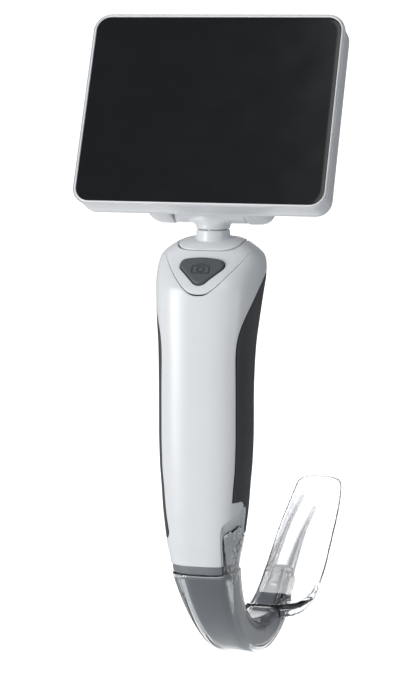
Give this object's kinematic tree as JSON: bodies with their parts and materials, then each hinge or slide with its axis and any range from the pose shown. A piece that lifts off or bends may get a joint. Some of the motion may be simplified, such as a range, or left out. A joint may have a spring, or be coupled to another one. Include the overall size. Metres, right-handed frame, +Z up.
{
  "type": "video laryngoscope",
  "caption": "Hand-held video laryngoscope: a rounded grip with a tilting, swivelling monitor on top and a curved camera arm in a clear detachable blade below.",
  "frame": {"origin": "middle of the handle's lower end, at the lower face of the grey collar ring", "axes": "+Z up along the handle towards the monitor, -Y towards the user who faces the screen, +X to that user's right"},
  "size_m": [0.0914, 0.1603, 0.239],
  "materials": {
    "white_plastic": "satin white moulded plastic",
    "dark_grip": "fine-grained dark grey plastic",
    "grey_plastic": "smooth mid grey plastic",
    "black_glass": "glossy nearly black printed cover glass",
    "clear_plastic": "clear polished polycarbonate",
    "steel": "brushed",
    "black_plastic": "matt black",
    "board_green": "solder mask with components",
    "cell_wrap": "shrink sleeve",
    "bush_plastic": "natural acetal",
    "button_grey": "matt dark grey with a low relief symbol",
    "flap_rubber": "soft grey rubber",
    "led_lens": "clear lens over a pale chip",
    "lens_glass": "coated lens"
  },
  "bodies": {
    "handle": {"front_cover": "white_plastic", "rear_grip": "dark_grip", "top_cover": "white_plastic", "neck_cap": "white_plastic", "bottom_collar": "grey_plastic", "camera_arm": "grey_plastic", "camera_barrel": "steel", "camera_lens": "lens_glass", "camera_window": "clear_plastic", "arm_leds": "led_lens", "camera_lead": "black_plastic", "arm_seal": "flap_rubber", "chassis": "grey_plastic", "battery_cell": "cell_wrap", "battery_contacts": "steel", "handle_board": "board_green", "push_switch": "black_plastic", "handle_screws": "steel", "swivel_bush": "bush_plastic"},
    "neck": {"neck_yoke": "white_plastic", "swivel_shaft": "steel", "shaft_ring": "steel"},
    "monitor": {"front_frame": "white_plastic", "cover_glass": "black_glass", "display_panel": "steel", "monitor_board": "board_green", "rear_shell": "white_plastic", "hinge_pin": "steel", "hinge_washers": "steel", "monitor_screws": "steel", "port_socket": "steel"},
    "capture": {"capture_button": "button_grey"},
    "power": {"power_button": "grey_plastic"},
    "port_flap": {"port_cover": "flap_rubber"},
    "blade": {"blade_sheath": "clear_plastic"}
  },
  "joints": [
    {"name": "neck_swivel", "type": "hinge", "parent": "handle", "child": "neck", "pos_m": [0, 0.0086, 0.1209], "axis": [0, 0, 1], "range_deg": [-135, 135]},
    {"name": "monitor_tilt", "type": "hinge", "parent": "neck", "child": "monitor", "pos_m": [0, 0.0086, 0.1302], "axis": [-1, 0, 0], "range_deg": [-30, 100]},
    {"name": "capture_press", "type": "slide", "parent": "handle", "child": "capture", "axis": [0, 0.788, -0.6157], "range_m": [0, 0.0008], "stiffness_N_per_m": 1000, "springref_m": -0.0008},
    {"name": "power_press", "type": "slide", "parent": "monitor", "child": "power", "axis": [0, -0.4067, -0.9135], "range_m": [0, 0.0005], "stiffness_N_per_m": 1000, "springref_m": -0.0008},
    {"name": "flap_open", "type": "hinge", "parent": "monitor", "child": "port_flap", "pos_m": [-0.04568, 0.00965, 0.1692], "axis": [0, 0.9135, -0.4067], "range_deg": [0, 100]},
    {"name": "blade_release", "type": "hinge", "parent": "handle", "child": "blade", "pos_m": [0, 0.0622, 0.0343], "axis": [1, 0, 0], "range_deg": [0, 100]}
  ]
}
